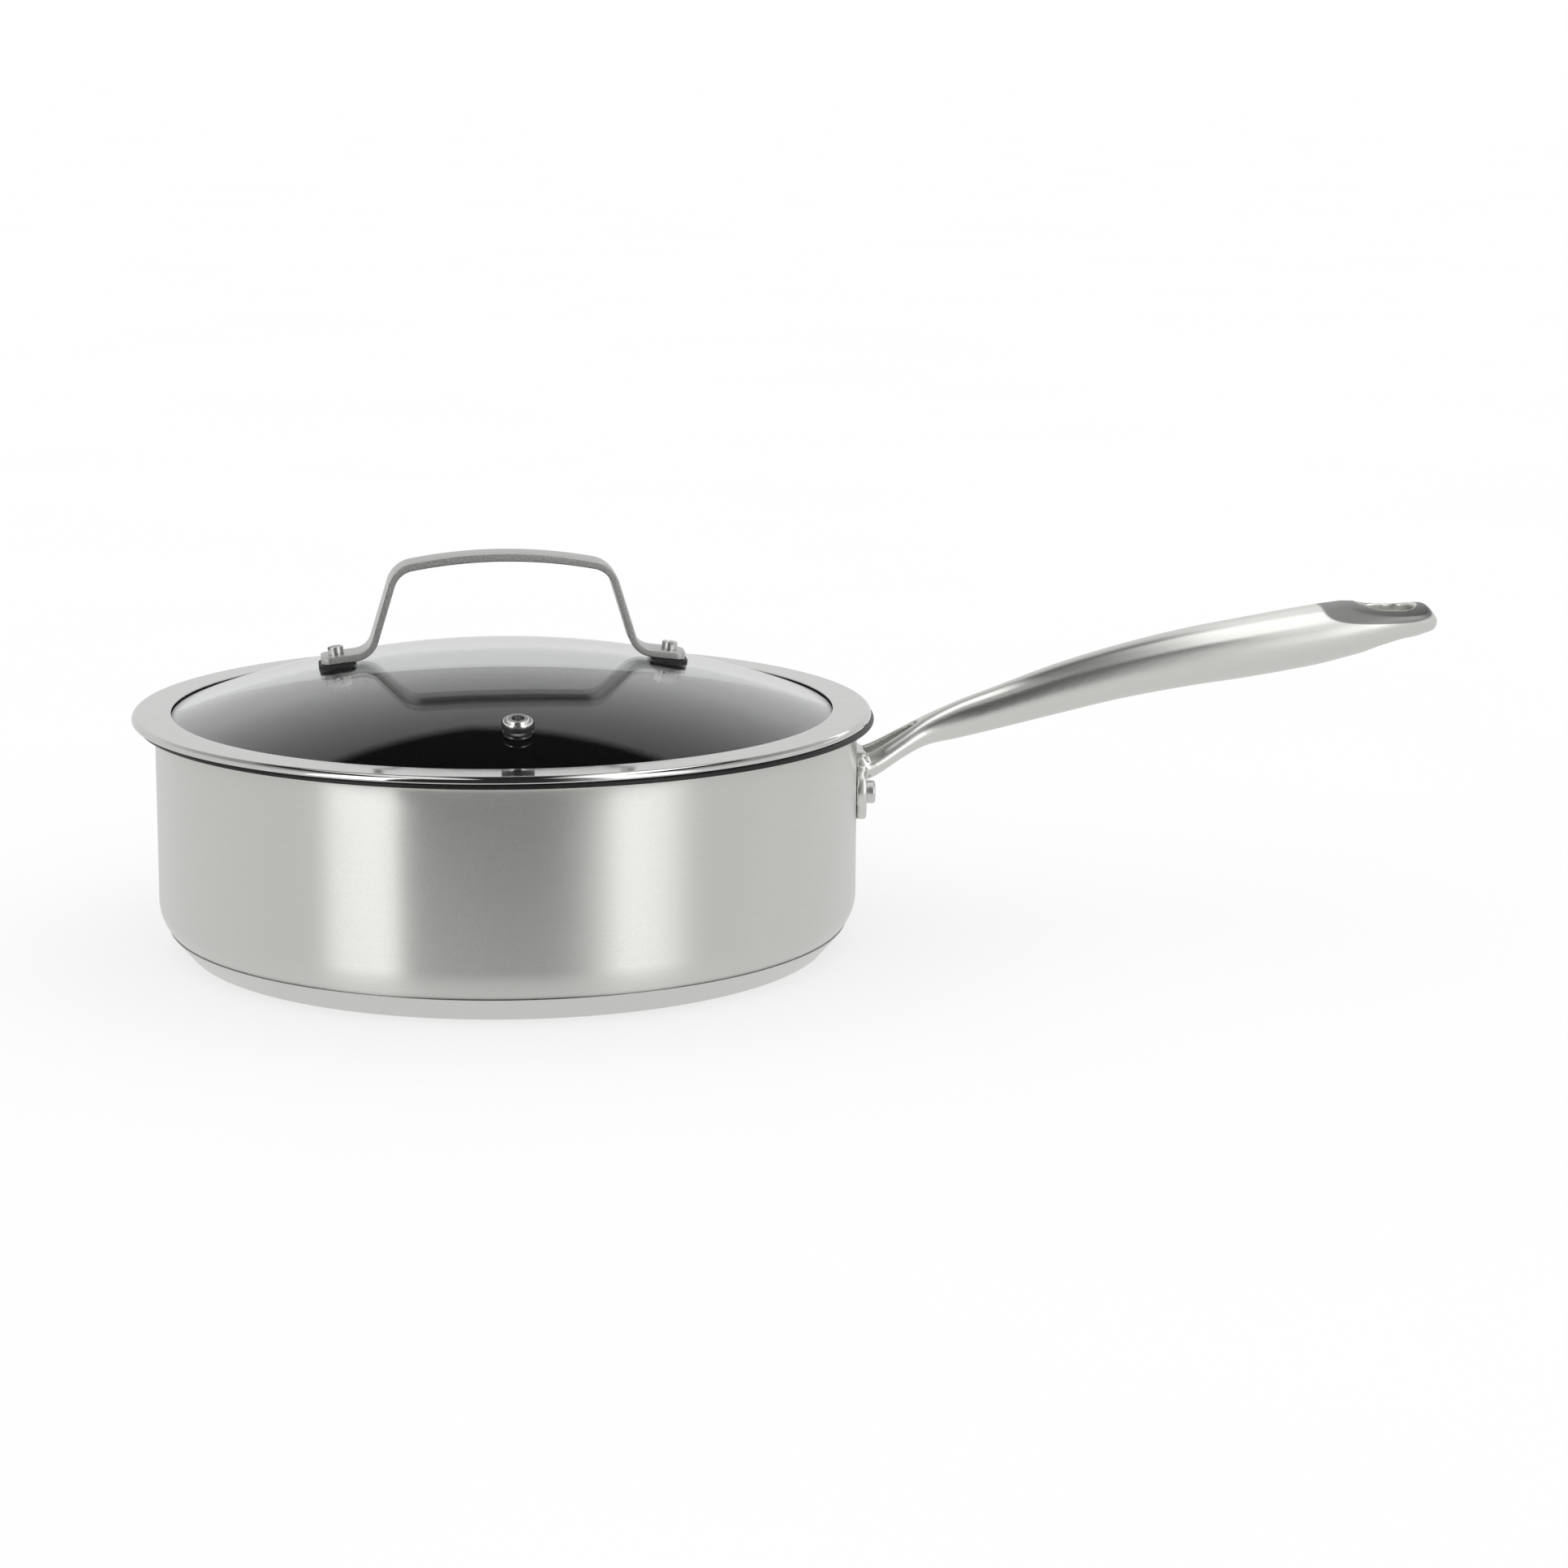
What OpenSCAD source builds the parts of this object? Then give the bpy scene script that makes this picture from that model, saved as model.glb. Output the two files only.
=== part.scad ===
// Saute pan with a capsule base, a riveted cast handle and a domed glass lid.
// Millimetres. The origin is the centre of the base on the hob, +Z is up and
// the long handle points along +X.

/* [Pan shell] */
// Inside diameter of the straight wall
pan_inner_d = 240; // [200:1:300]
// Height of the pouring lip above the hob
pan_height = 80.5; // [74:0.5:110]
// Thickness of the drawn steel
wall_t = 1; // [0.8:0.1:1.3]
// Outer radius of the bottom corner
corner_r = 14; // [11:0.5:18]
// How far the pouring lip flares out past the wall
lip_reach = 5.8; // [5:0.1:8]
// Radius under the flared lip
lip_r = 3; // [2:0.1:3.4]
// Outer radius of the lip's turned down edge
lip_turn_r = 1.4; // [1.2:0.1:1.6]

/* [Capsule base] */
// Height of the shell's floor above the hob
base_t = 4; // [3.4:0.1:6]
// Lean of the capsule's side, in degrees
base_lean = 41; // [38:0.5:44]
// Thickness of the capsule's sheet
cap_t = 0.5; // [0.4:0.1:0.8]
// Radius of the capsule's lower edge
cap_edge_r = 1.2; // [1:0.1:1.6]
// Height at which the capsule ends on the shell's corner
seam_height = 8.25; // [7:0.25:10]

/* [Handle flange] */
// Width of the flange along the wall
flange_w = 38; // [34:1:44]
// Height of the flange
flange_h = 20.2; // [18:0.2:24]
// Thickness of the flange
flange_t = 3.6; // [3:0.1:5]
// Depth of the rivets below the pouring lip
rivet_drop = 28.7; // [27:0.1:33]
// Distance between the two rivets
rivet_gap = 22; // [19:0.5:26]
// Diameter of the rivets' shanks
rivet_d = 5; // [4:0.1:6]
// Diameter of the rivets' outer heads
rivet_head_d = 8; // [7:0.1:9]
// Height of the rivets' outer heads
rivet_head_h = 3; // [2.5:0.1:4]

/* [Cast grip] */
// Length of the casting from the flange to the tip
grip_len = 206.9; // [180:0.1:240]
// Height of the casting's middle line above the rivets, at the flange
root_rise = 6.7; // [6:0.1:9]
// How far the middle line climbs from the flange to the tip
grip_rise = 53.9; // [40:0.1:65]
// Depth of the grip at its fullest
grip_depth = 21; // [17:0.1:24]
// Width of the grip at its fullest
grip_w = 27; // [24:0.5:32]
// Width of the fork's slot at the flange
slot_w = 13; // [10:0.5:14]
// Width of the fork's slot at its round end
slot_end_w = 4.6; // [3:0.1:6]
// Distance from the wall to the end of the slot
slot_len = 23; // [19:0.2:28]
// Length of the hanging hole
hang_len = 21; // [16:0.5:24]
// Width of the hanging hole
hang_w = 17; // [14:0.5:18]
// Metal left between the hanging hole and the tip
hang_edge = 7.2; // [7:0.1:14]
// Height of the level top of the tip, above the casting's start
crown_rise = 55.5; // [55:0.1:57]
// Fall of the level top towards the tip, in degrees
crown_fall = 2; // [1:0.5:4]
// Radius of the level top from side to side
crown_r = 24; // [20:0.5:30]

/* [Lid glass and rim] */
// Play between the lid's skirt and the pan's wall
lid_play = 1.9; // [1.7:0.1:3]
// How far the loose lid rests off the pan's centre
lid_shift = 1.5; // [0:0.1:1.6]
// How far the rim band stands out past the pouring lip
rim_overhang = 0.6; // [0.3:0.1:2]
// Thickness of the glass
glass_t = 4; // [3:0.5:5]
// Rise of the dome from the glass's edge to its top
dome_rise = 21.8; // [18:0.2:26]
// Height of the dome's top above the pouring lip
dome_top = 22.3; // [18:0.1:26]
// Width of the flat band that shows round the glass
band_w = 13.4; // [11:0.1:16]
// Thickness of the rolled edge of the rim band
rim_edge_t = 2.3; // [1.8:0.1:2.4]
// Thickness of the rim's sheet
rim_t = 0.6; // [0.5:0.05:0.9]
// Width of the ledge under the glass
ledge_w = 4.6; // [3.5:0.1:6]
// Thickness of the silicone round the glass's edge
gasket_t = 0.7; // [0.5:0.05:0.9]

/* [Lid handle] */
// Distance between the two screws
screw_gap = 114; // [100:1:130]
// Width of the strap
strap_w = 15; // [12:0.5:18]
// Thickness of the strap
strap_t = 2.5; // [2:0.1:3]
// Height of the strap's crest above the dome's top
strap_rise = 33.6; // [28:0.2:40]
// Half length of the strap's crowned crest
crest_half = 31.5; // [26:0.5:34]
// Radius of the crest's crown
crest_r = 170; // [120:5:260]
// Radius of the bend between crest and leg, on the strap's middle line
bend_r = 9; // [6:0.5:11]
// Radius of the bend between leg and foot, on the strap's middle line
heel_r = 8; // [6:0.5:10]
// Lean of the legs, in degrees
leg_lean = 17; // [12:1:22]
// Slope of the feet, in degrees
foot_tilt = 7; // [5:0.5:11]
// Strap beyond each screw
foot_end = 5.6; // [4.5:0.1:7]
// Thickness of the pads under the feet, at the screws
pad_t = 1.5; // [1.2:0.1:2]
// Length of the pads under the feet
pad_len = 12.8; // [11:0.1:14]

/* [Lid screws] */
// Diameter of the screws' heads
screw_head_d = 5.4; // [5:0.1:7]
// Height of the screws' heads
screw_head_h = 2.6; // [2:0.1:3.5]
// Diameter of the screws' shanks
screw_d = 4; // [3:0.5:4]
// Thickness of the soft washers under the glass
soft_washer_t = 1; // [0.8:0.1:1.6]
// Diameter of the soft washers under the glass
soft_washer_d = 12; // [11:0.5:15]
// Thickness of the steel washers
washer_t = 0.8; // [0.6:0.1:1.2]
// Diameter of the steel washers
washer_d = 9; // [8.5:0.1:11]
// Width of the cap nuts across their flats
nut_w = 7; // [6.5:0.5:8]
// Height of the cap nuts' hexagons
nut_h = 3.2; // [2.6:0.1:4]

/* [Steam vent] */
// Distance of the vent from the glass's edge
vent_inset = 30.6; // [22:0.2:50]
// Outer diameter of the eyelet
vent_d = 9.8; // [9:0.2:12]
// Diameter of the steam hole
vent_hole_d = 4.2; // [3.4:0.1:4.6]
// Diameter of the eyelet's raised inner ring
vent_ring_d = 7.2; // [6.8:0.1:8]
// Thickness of the eyelet's flange
vent_flange_t = 1; // [0.8:0.1:1.4]
// Height of the raised inner ring
vent_ring_h = 0.8; // [0.5:0.1:1.2]
// Thickness of the black ring under the eyelet
vent_seal_t = 1.4; // [1:0.1:2]

/* [Hidden] */

// Facets round a large turned piece, and round a small one
$fn = 120;
turned_fn = 240;
// How far a cut runs past the face that it opens
overrun = 2;
// Clearance between pieces that are clamped face to face
fit_gap = 0.05;
// Clearance of a screw, rivet or eyelet in its hole
hole_gap = 0.1;
// The same in the glass, which must not be pinched
glass_gap = 0.4;

steel_colour = "#b9bcc0";
bright_colour = "#d7d9dc";
cast_colour = "#a9a8a3";
aluminium_colour = "#c9cbcf";
black_colour = "#1d1d1f";
glass_colour = [0.75, 0.8, 0.82, 0.35];

wall_r = pan_inner_d / 2 + wall_t;
corner_x = wall_r - corner_r;
corner_z = base_t + corner_r;
lip_edge_r = wall_r + lip_reach;
lip_x = wall_r + lip_r;
lip_z = pan_height - wall_t - lip_r;

// The capsule's side leans out to its seam, clear of the shell's corner
seam_clear_r = corner_r + fit_gap;
seam_drop = corner_z - seam_height;
cone_top_x = corner_x + sqrt(seam_clear_r * seam_clear_r - seam_drop * seam_drop)
    + cap_t / cos(base_lean) + fit_gap;
cone_foot_x = cone_top_x - seam_height * tan(base_lean);
base_r = cone_foot_x - cap_edge_r / tan(45 + base_lean / 2);

rivet_z = pan_height - rivet_drop;
rivet_turn = asin(rivet_gap / 2 / wall_r);
rivet_round = rivet_head_h * 0.3;
inner_head_r = rivet_head_d * 0.62;
inner_head_h = rivet_head_h * 0.45;
inner_head_round = (inner_head_r * inner_head_r + inner_head_h * inner_head_h) / inner_head_h / 2;
// The flat seat of an inner head touches the hollow wall at its edge
inner_seat = inner_head_r * inner_head_r / pan_inner_d + fit_gap;

// The casting starts half way through the flange
root_x = wall_r + flange_t / 2;
root_z = rivet_z + root_rise;
tip_x = root_x + grip_len;
tower_h = root_z + grip_depth * 0.33;
tower_w = grip_w * 0.96;
tower_r = tower_w * 0.16;
hang_x = tip_x - hang_edge - hang_len / 2;
slot_end_x = wall_r + slot_len - slot_end_w / 2;

// Shares of the length, the climb, the depth and the width along the casting
casting_shares = [
    [0.000, 0.014, 0.495, 1.000],
    [0.027, 0.052, 0.490, 0.930],
    [0.075, 0.157, 0.452, 0.720],
    [0.116, 0.236, 0.486, 0.540],
    [0.171, 0.304, 0.618, 0.500],
    [0.228, 0.368, 0.696, 0.560],
    [0.338, 0.493, 0.827, 0.700],
    [0.448, 0.602, 0.891, 0.830],
    [0.563, 0.691, 0.956, 0.930],
    [0.673, 0.757, 0.999, 0.985],
    [0.787, 0.829, 0.996, 1.000],
    [0.845, 0.870, 0.933, 0.985],
    [0.902, 0.913, 0.856, 0.950],
    [0.955, 0.954, 0.763, 0.870],
    [0.983, 0.935, 0.487, 0.740],
    [0.995, 0.919, 0.318, 0.590],
    [1.000, 0.922, 0.185, 0.450]
];
span_steps = 3;
section_points = 26;
// A share under 1 squares the oval section a little
section_square_share = 0.86;

rim_out_r = pan_inner_d / 2 - lid_play;
channel_r = rim_out_r - rim_t;
glass_r = channel_r - gasket_t - 2 * fit_gap;
dome_r = (glass_r * glass_r + dome_rise * dome_rise) / dome_rise / 2;
dome_z = pan_height + dome_top;
dome_centre_z = dome_z - dome_r;
rim_r = lip_edge_r + rim_overhang;
rim_in_r = rim_r - band_w;
upper_gasket_t = gasket_t * 0.3;
lower_gasket_t = gasket_t - 2 * fit_gap;
ledge_in_r = glass_r - ledge_w;
// The rolled edge turns over a large radius above and a small one below
roll_low_r = rim_edge_t * 0.2;
roll_high_r = rim_edge_t - roll_low_r;

strap_z = dome_z + strap_rise - strap_t / 2;
screw_x = screw_gap / 2;
foot_x = screw_x + foot_end;
foot_corner_r = strap_w * 0.2;
strap_hole_d = screw_d + hole_gap * 2;
glass_hole_d = screw_d + 2 * glass_gap;
glass_slope = asin(screw_x / dome_r);
// A flat washer touches the hollow side of the glass at its edge
soft_washer_sag = soft_washer_d * soft_washer_d / (dome_r - glass_t) / 8;
stack_z = -glass_t - fit_gap * 2;
soft_washer_z = stack_z - soft_washer_t;
steel_washer_z = soft_washer_z - washer_t;
nut_z = steel_washer_z - nut_h;
cap_r = nut_w * 0.46;
shank_end_z = nut_z + nut_h * 0.1;
screw_slot_w = screw_head_d * 0.18;
screw_slot_deep = screw_head_h * 0.35;

vent_reach = glass_r - vent_inset;
vent_tube_r = vent_hole_d / 2 + vent_flange_t * 0.8;
vent_tilt = asin(vent_reach / dome_r);
vent_flare_r = vent_tube_r + vent_flange_t;
vent_backing_t = vent_flange_t * 0.8;
vent_backing_z = -glass_t - fit_gap - vent_backing_t;
vent_flare_t = vent_flange_t * 0.5;
vent_seal_d = vent_d + vent_flange_t;

// Height of the glass's outer face at a distance from the lid's centre
function dome_at(r) = dome_centre_z + sqrt(dome_r * dome_r - r * r);
// Height of its inner face
function bowl_at(r) = dome_centre_z + sqrt((dome_r - glass_t) * (dome_r - glass_t) - r * r);

// The strap's middle line turns right over the crest and the bend, runs down
// the leg and turns left into the foot
leg_turn = 90 - leg_lean;
crest_turn = asin(crest_half / crest_r);
bend_x = crest_half + bend_r * (sin(leg_turn) - sin(crest_turn));
bend_z = strap_z - crest_r * (1 - cos(crest_turn)) - bend_r * (cos(crest_turn) - cos(leg_turn));
heel_dx = heel_r * (sin(leg_turn) - sin(foot_tilt));
heel_dz = heel_r * (cos(foot_tilt) - cos(leg_turn));
foot_mid_z = dome_at(screw_x) + (pad_t + strap_t / 2) / cos(foot_tilt);
// The leg is as long as it takes to land on the foot's own line
leg_len = (bend_z - heel_dz - foot_mid_z - (screw_x - bend_x - heel_dx) * tan(foot_tilt))
    / (cos(leg_lean) - sin(leg_lean) * tan(foot_tilt));
leg_x = bend_x + leg_len * sin(leg_lean);
leg_z = bend_z - leg_len * cos(leg_lean);
heel_x = leg_x + heel_dx;
heel_z = leg_z - heel_dz;
arc_steps = 10;

function power_of(v, share) = sign(v) * pow(abs(v), share);

// Smooth curve through one column of a table of shares
function span_of(table, u, i = 0) =
    i >= len(table) - 2 || u <= table[i + 1][0] ? i : span_of(table, u, i + 1);
function slope_of(table, i, column) =
    let (a = max(i - 1, 0), b = min(i + 1, len(table) - 1))
    (table[b][column] - table[a][column]) / (table[b][0] - table[a][0]);
function share_at(table, u, column) =
    let (
        i = span_of(table, u),
        h = table[i + 1][0] - table[i][0],
        k = (u - table[i][0]) / h,
        k2 = k * k,
        k3 = k2 * k
    )
    (2 * k3 - 3 * k2 + 1) * table[i][column]
    + (k3 - 2 * k2 + k) * h * slope_of(table, i, column)
    + (3 * k2 - 2 * k3) * table[i + 1][column]
    + (k3 - k2) * h * slope_of(table, i + 1, column);

// A quarter of a ring of sheet, from its outer radius inwards
module quarter_ring(outer_r, sheet_t, turn) {
    rotate(turn) intersection() {
        difference() {
            circle(outer_r);
            circle(outer_r - sheet_t);
        }
        square(outer_r);
    }
}

// A disc outline with a round upper or lower outer edge
module rounded_disc(disc_r, disc_t, round_r) {
    square([disc_r - round_r, disc_t]);
    square([disc_r, disc_t - round_r]);
    translate([disc_r - round_r, disc_t - round_r]) circle(round_r);
}

module washer(outer_d, hole_d, thick) {
    difference() {
        cylinder(d = outer_d, h = thick);
        translate([0, 0, -overrun]) cylinder(d = hole_d, h = thick + 2 * overrun);
    }
}

module rounded_rectangle(size, round_r) {
    for (x = [-1, 1], y = [-1, 1])
        translate([x * (size[0] / 2 - round_r), y * (size[1] / 2 - round_r)]) circle(round_r);
    square([size[0] - 2 * round_r, size[1]], center = true);
    square([size[0], size[1] - 2 * round_r], center = true);
}

// Pan

module shell_outline() {
    translate([0, base_t]) square([corner_x, wall_t]);
    translate([corner_x, corner_z]) quarter_ring(corner_r, wall_t, -90);
    translate([wall_r - wall_t, corner_z]) square([wall_t, lip_z - corner_z]);
    translate([lip_x, lip_z]) quarter_ring(lip_r + wall_t, wall_t, 90);
    translate([lip_x, pan_height - wall_t]) square([lip_edge_r - lip_turn_r - lip_x, wall_t]);
    translate([lip_edge_r - lip_turn_r, pan_height - lip_turn_r]) quarter_ring(lip_turn_r, wall_t, 0);
    translate([lip_edge_r - wall_t / 2, pan_height - lip_turn_r]) circle(wall_t / 2);
}

// Places a rivet's own axis, +Z outwards, at the outer face of the wall
module at_rivet(side) {
    rotate([0, 0, side * rivet_turn]) translate([wall_r, 0, rivet_z]) rotate([0, 90, 0]) children();
}

module rivet_holes() {
    for (side = [-1, 1])
        at_rivet(side)
            translate([0, 0, -wall_t - overrun])
                cylinder(d = rivet_d + 2 * hole_gap, h = wall_t + flange_t + 2 * overrun);
}

module pan_body() {
    color(steel_colour) difference() {
        rotate_extrude($fn = turned_fn) shell_outline();
        rivet_holes();
    }
}

// Everything within a distance of the capsule's outer face, up to a level
module capsule_outline(inset, top) {
    round_r = cap_edge_r - inset;
    side_x = cone_foot_x - inset / cos(base_lean);
    polygon([
        [0, inset], [base_r, inset],
        [base_r + round_r * cos(base_lean), cap_edge_r - round_r * sin(base_lean)],
        [side_x + top * tan(base_lean), top], [0, top]
    ]);
    translate([base_r, cap_edge_r]) circle(round_r);
}

// The aluminium plate that spreads the heat, inside the capsule
module base_core() {
    color(aluminium_colour) rotate_extrude($fn = turned_fn) capsule_outline(cap_t + fit_gap, base_t);
}

module base_cap() {
    color(bright_colour) rotate_extrude($fn = turned_fn) difference() {
        capsule_outline(0, seam_height);
        capsule_outline(cap_t, seam_height + overrun);
    }
}

// Long handle

function casting_ring(u) =
    let (
        x = root_x + grip_len * u,
        z = root_z + grip_rise * share_at(casting_shares, u, 1),
        half_depth = grip_depth * share_at(casting_shares, u, 2) / 2,
        half_width = grip_w * share_at(casting_shares, u, 3) / 2
    )
    [for (k = [0 : section_points - 1])
        let (a = 360 * k / section_points)
        [
            x,
            half_width * power_of(cos(a), section_square_share),
            z + half_depth * power_of(sin(a), section_square_share)
        ]];

function casting_stations() = [
    for (i = [0 : len(casting_shares) - 2], j = [0 : span_steps - 1])
        let (a = casting_shares[i][0], b = casting_shares[i + 1][0])
        a + (b - a) * j / span_steps,
    casting_shares[len(casting_shares) - 1][0]
];

module casting() {
    stations = casting_stations();
    rings = len(stations);
    m = section_points;
    points = [for (u = stations, p = casting_ring(u)) p];
    sides = [for (j = [0 : rings - 2], k = [0 : m - 1])
        let (a = j * m + k, b = j * m + (k + 1) % m)
        each [[a, a + m, b], [b, a + m, b + m]]];
    ends = [[for (k = [0 : m - 1]) k], [for (k = [m - 1 : -1 : 0]) (rings - 1) * m + k]];
    polyhedron(points = points, faces = concat(sides, ends), convexity = 4);
}

module flange_outline() {
    straight = flange_w - flange_h;
    translate([0, rivet_z]) {
        square([straight, flange_h], center = true);
        for (side = [-1, 1]) translate([side * straight / 2, 0]) circle(d = flange_h);
    }
    translate([0, (rivet_z + tower_h) / 2]) rounded_rectangle([tower_w, tower_h - rivet_z], tower_r);
}

module flange() {
    top = tower_h + overrun;
    intersection() {
        difference() {
            cylinder(r = wall_r + fit_gap + flange_t, h = top, $fn = turned_fn);
            translate([0, 0, -overrun])
                cylinder(r = wall_r + fit_gap, h = top + 2 * overrun, $fn = turned_fn);
        }
        translate([wall_r - flange_w / 2, 0, 0])
            rotate([90, 0, 90]) linear_extrude(flange_w) flange_outline();
    }
}

// The open fork of the neck, straight up and down
module fork_slot() {
    start = wall_r + fit_gap + flange_t;
    linear_extrude(tip_x) {
        polygon([
            [start, -slot_w / 2], [slot_end_x, -slot_end_w / 2],
            [slot_end_x, slot_end_w / 2], [start, slot_w / 2]
        ]);
        translate([slot_end_x, 0]) circle(d = slot_end_w);
    }
}

module hanging_hole() {
    straight = hang_len - hang_w;
    translate([hang_x, 0, root_z]) linear_extrude(grip_rise + grip_depth) {
        square([straight, hang_w], center = true);
        for (side = [-1, 1]) translate([side * straight / 2, 0]) circle(d = hang_w);
    }
}

// What stands above the level top of the tip, which is round from side to side
module tip_top() {
    reach = grip_len * 0.3;
    translate([tip_x, 0, root_z + crown_rise]) rotate([0, crown_fall, 0]) translate([-reach, 0, 0])
        difference() {
            translate([0, -grip_w, -crown_r]) cube([2 * reach, 2 * grip_w, crown_r + grip_depth]);
            translate([-overrun, 0, -crown_r]) rotate([0, 90, 0])
                cylinder(r = crown_r, h = 2 * (reach + overrun));
        }
}

module long_handle() {
    color(cast_colour) difference() {
        union() {
            flange();
            casting();
        }
        fork_slot();
        hanging_hole();
        tip_top();
        rivet_holes();
    }
}

module handle_rivet(side) {
    color(bright_colour) at_rivet(side) rotate_extrude($fn = 64) {
        translate([0, flange_t + 2 * fit_gap]) rounded_disc(rivet_head_d / 2, rivet_head_h, rivet_round);
        translate([0, -wall_t - inner_seat])
            square([rivet_d / 2, wall_t + inner_seat + flange_t + 3 * fit_gap]);
        intersection() {
            translate([0, inner_head_round - wall_t - inner_seat - inner_head_h]) circle(inner_head_round);
            translate([0, -wall_t - inner_seat - inner_head_h]) square([inner_head_r, inner_head_h]);
        }
    }
}

module handle_rivet_front() { handle_rivet(-1); }
module handle_rivet_rear() { handle_rivet(1); }

// Lid

module at_lid() { translate([-lid_shift, 0, 0]) children(); }

// Places a foot's own axis, +Z up through the screw, on the glass
module at_foot(side) {
    translate([side * screw_x, 0, dome_at(screw_x)]) rotate([0, side * foot_tilt, 0]) children();
}

// The same, but square to the glass
module at_glass(side) {
    translate([side * screw_x, 0, dome_at(screw_x)]) rotate([0, side * glass_slope, 0]) children();
}

// The same for the vent, square to the glass on the lid's front side
module at_vent() {
    translate([0, -vent_reach, dome_at(vent_reach)]) rotate([vent_tilt, 0, 0]) children();
}

module lid_rim() {
    lip_under = upper_gasket_t + 2 * fit_gap;
    color(bright_colour) at_lid() rotate_extrude($fn = turned_fn) {
        polygon(concat(
            [[rim_in_r, dome_at(rim_in_r) + lip_under + rim_t]],
            [for (i = [0 : arc_steps])
                let (a = 90 - 90 * i / arc_steps)
                [rim_r - roll_high_r * (1 - cos(a)), pan_height + roll_low_r + roll_high_r * sin(a)]],
            [for (i = [1 : arc_steps])
                let (a = -90 * i / arc_steps)
                [rim_r - roll_low_r * (1 - cos(a)), pan_height + roll_low_r * (1 + sin(a))]],
            [
                [rim_out_r, pan_height],
                [rim_out_r, bowl_at(rim_out_r) - gasket_t - rim_t],
                [ledge_in_r, bowl_at(ledge_in_r) - gasket_t - rim_t],
                [ledge_in_r, bowl_at(ledge_in_r) - gasket_t],
                [channel_r, bowl_at(channel_r) - gasket_t],
                [channel_r, dome_at(channel_r) + lip_under],
                [rim_in_r, dome_at(rim_in_r) + lip_under]
            ]
        ));
    }
}

// The silicone channel that the glass's edge sits in
module rim_gasket() {
    out_r = channel_r - fit_gap;
    in_r = ledge_in_r + rim_t;
    color(black_colour) at_lid() rotate_extrude($fn = turned_fn) polygon([
        [rim_in_r + rim_t, dome_at(rim_in_r + rim_t) + fit_gap + upper_gasket_t],
        [out_r, dome_at(out_r) + fit_gap + upper_gasket_t],
        [out_r, bowl_at(out_r) - fit_gap - lower_gasket_t],
        [in_r, bowl_at(in_r) - fit_gap - lower_gasket_t],
        [in_r, bowl_at(in_r) - fit_gap],
        [glass_r + fit_gap, bowl_at(glass_r) - fit_gap],
        [glass_r + fit_gap, dome_at(glass_r) + fit_gap],
        [rim_in_r + rim_t, dome_at(rim_in_r + rim_t) + fit_gap]
    ]);
}

module lid_glass() {
    color(glass_colour) at_lid() difference() {
        rotate_extrude($fn = turned_fn) intersection() {
            translate([0, dome_centre_z]) difference() {
                circle(dome_r, $fn = 4 * turned_fn);
                circle(dome_r - glass_t, $fn = 4 * turned_fn);
            }
            translate([0, bowl_at(glass_r)]) square([glass_r, dome_rise + 2 * glass_t]);
        }
        for (side = [-1, 1])
            at_foot(side) translate([0, 0, -2 * glass_t]) cylinder(d = glass_hole_d, h = 3 * glass_t);
        at_vent() translate([0, 0, -2 * glass_t]) cylinder(r = vent_tube_r + glass_gap, h = 3 * glass_t);
    }
}

module vent_eyelet() {
    top = vent_seal_t + vent_flange_t;
    bottom = vent_backing_z - fit_gap - vent_flare_t;
    color(bright_colour) at_lid() at_vent() rotate_extrude($fn = 96) difference() {
        union() {
            translate([0, vent_seal_t + fit_gap]) rounded_disc(vent_d / 2, vent_flange_t, vent_flange_t * 0.45);
            translate([0, top]) rounded_disc(vent_ring_d / 2, vent_ring_h, vent_ring_h * 0.45);
            translate([0, bottom]) square([vent_tube_r, top - bottom]);
            translate([0, bottom]) square([vent_flare_r, vent_flare_t]);
        }
        translate([0, bottom - overrun])
            square([vent_hole_d / 2, top + vent_ring_h - bottom + 2 * overrun]);
    }
}

module vent_seal() {
    color(black_colour) at_lid() at_vent() washer(vent_seal_d, 2 * (vent_tube_r + hole_gap), vent_seal_t);
}

module vent_backing() {
    color(steel_colour) at_lid() at_vent() translate([0, 0, vent_backing_z])
        washer(vent_d, 2 * (vent_tube_r + hole_gap), vent_backing_t);
}

// Points on one face of the right half, side = 1 outside or -1 inside
function strap_face(side) =
    let (
        out = side * strap_t / 2,
        bend_cx = bend_x - bend_r * sin(leg_turn),
        bend_cz = bend_z - bend_r * cos(leg_turn),
        heel_cx = leg_x + heel_r * sin(leg_turn),
        heel_cz = leg_z + heel_r * cos(leg_turn)
    )
    concat(
        [for (i = [0 : arc_steps])
            let (a = crest_turn * i / arc_steps)
            [(crest_r + out) * sin(a), strap_z - crest_r + (crest_r + out) * cos(a)]],
        [for (i = [1 : arc_steps])
            let (a = crest_turn + (leg_turn - crest_turn) * i / arc_steps)
            [bend_cx + (bend_r + out) * sin(a), bend_cz + (bend_r + out) * cos(a)]],
        [for (i = [0 : arc_steps])
            let (a = leg_turn + (foot_tilt - leg_turn) * i / arc_steps)
            [heel_cx - (heel_r - out) * sin(a), heel_cz - (heel_r - out) * cos(a)]],
        [[foot_x + out * sin(foot_tilt), heel_z - (foot_x - heel_x) * tan(foot_tilt) + out * cos(foot_tilt)]]
    );

function backwards(list) = [for (i = [len(list) - 1 : -1 : 0]) list[i]];
function mirrored(list) = [for (p = list) [-p[0], p[1]]];
function without_first(list) = [for (i = [1 : len(list) - 1]) list[i]];

module strap_outline() {
    outside = strap_face(1);
    inside = strap_face(-1);
    polygon(concat(
        mirrored(backwards(without_first(outside))), outside,
        backwards(inside), mirrored(without_first(inside))
    ));
}

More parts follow.
